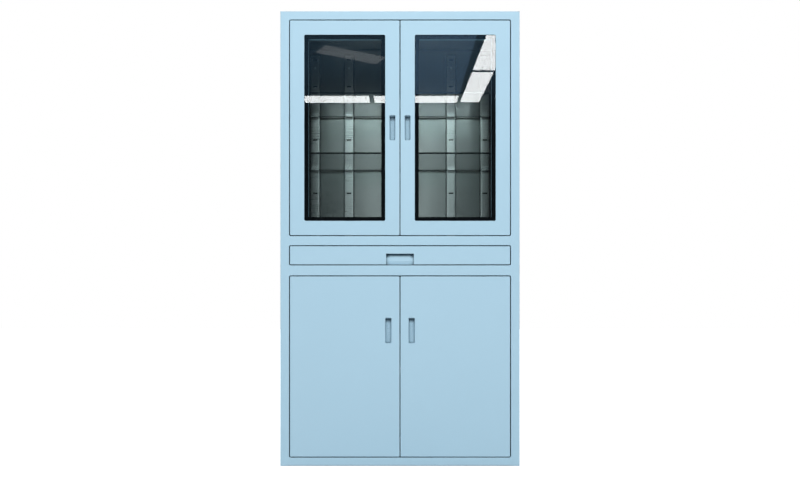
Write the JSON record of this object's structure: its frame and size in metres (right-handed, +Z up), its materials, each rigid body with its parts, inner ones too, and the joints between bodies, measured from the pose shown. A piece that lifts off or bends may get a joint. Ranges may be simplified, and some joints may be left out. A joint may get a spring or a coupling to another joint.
{
  "type": "glass door medical cabinet",
  "caption": "Tall steel storage cabinet with two glazed doors above, one drawer across the middle and two steel doors below.",
  "frame": {"origin": "on the floor under the middle of the cabinet", "axes": "+Z up, +X to the right seen from the front, the doors face -Y"},
  "size_m": [0.9, 0.4, 1.71],
  "materials": {
    "paint": "light blue powder coat",
    "liner": "satin grey",
    "steel": "satin",
    "zinc": "zinc plated",
    "glass": "clear",
    "seal": "satin black",
    "plastic": "matt"
  },
  "bodies": {
    "carcass": {"top_panel": "paint", "upper_deck": "paint", "lower_deck": "paint", "base_panel": "paint", "back_panel": "liner", "steel_shelf": "paint", "catch_upper": "plastic", "catch_lower": "plastic", "glass_shelf_1": "glass", "glass_shelf_2": "glass", "side_panel_right": "paint", "shelf_ledge_right": "zinc", "upright_inner_right": "steel", "upright_outer_right": "steel", "clip_inner_1_right": "steel", "clip_inner_2_right": "steel", "clip_outer_1_right": "steel", "clip_outer_2_right": "steel", "side_support_right": "steel", "slide_cabinet_right": "zinc", "side_panel_left": "paint", "shelf_ledge_left": "zinc", "upright_inner_left": "steel", "upright_outer_left": "steel", "clip_inner_1_left": "steel", "clip_inner_2_left": "steel", "clip_outer_1_left": "steel", "clip_outer_2_left": "steel", "side_support_left": "steel", "slide_cabinet_left": "zinc"},
    "upper_left_door": {"upper_door_skin_left": "paint", "upper_door_seal_left": "seal", "upper_door_pane_left": "glass", "upper_door_cup_left": "paint", "upper_door_pin_top_left": "steel", "upper_door_pin_bottom_left": "steel"},
    "lower_left_door": {"lower_door_skin_left": "paint", "lower_door_cup_left": "paint", "lower_door_pin_top_left": "steel", "lower_door_pin_bottom_left": "steel"},
    "upper_right_door": {"upper_door_skin_right": "paint", "upper_door_seal_right": "seal", "upper_door_pane_right": "glass", "upper_door_cup_right": "paint", "upper_door_pin_top_right": "steel", "upper_door_pin_bottom_right": "steel"},
    "lower_right_door": {"lower_door_skin_right": "paint", "lower_door_cup_right": "paint", "lower_door_pin_top_right": "steel", "lower_door_pin_bottom_right": "steel"},
    "drawer": {"drawer_front": "paint", "drawer_pull": "paint", "drawer_bottom": "zinc", "drawer_back": "zinc", "drawer_side_right": "zinc", "slide_drawer_right": "zinc", "drawer_side_left": "zinc", "slide_drawer_left": "zinc"},
    "middle_slide_right": {"slide_middle_right": "zinc"},
    "middle_slide_left": {"slide_middle_left": "zinc"}
  },
  "joints": [
    {"name": "upper_left_hinge", "type": "hinge", "parent": "carcass", "child": "upper_left_door", "pos_m": [-0.405, -0.1935, 0.8645], "axis": [0, 0, -1], "range_deg": [0, 105]},
    {"name": "lower_left_hinge", "type": "hinge", "parent": "carcass", "child": "lower_left_door", "pos_m": [-0.405, -0.1935, 0.0315], "axis": [0, 0, -1], "range_deg": [0, 105]},
    {"name": "upper_right_hinge", "type": "hinge", "parent": "carcass", "child": "upper_right_door", "pos_m": [0.405, -0.1935, 0.8645], "axis": [0, 0, 1], "range_deg": [0, 105]},
    {"name": "lower_right_hinge", "type": "hinge", "parent": "carcass", "child": "lower_right_door", "pos_m": [0.405, -0.1935, 0.0315], "axis": [0, 0, 1], "range_deg": [0, 105]},
    {"name": "drawer_slide", "type": "slide", "parent": "carcass", "child": "drawer", "axis": [0, -1, 0], "range_m": [0, 0.3]},
    {"name": "middle_right_slide", "type": "slide", "parent": "carcass", "child": "middle_slide_right", "axis": [0, -1, 0], "range_m": [0, 0.15]},
    {"name": "middle_left_slide", "type": "slide", "parent": "carcass", "child": "middle_slide_left", "axis": [0, -1, 0], "range_m": [0, 0.15]}
  ],
  "couplings": [
    {"joint": "middle_right_slide", "follows": "drawer_slide", "ratio": 0.5},
    {"joint": "middle_left_slide", "follows": "drawer_slide", "ratio": 0.5}
  ]
}
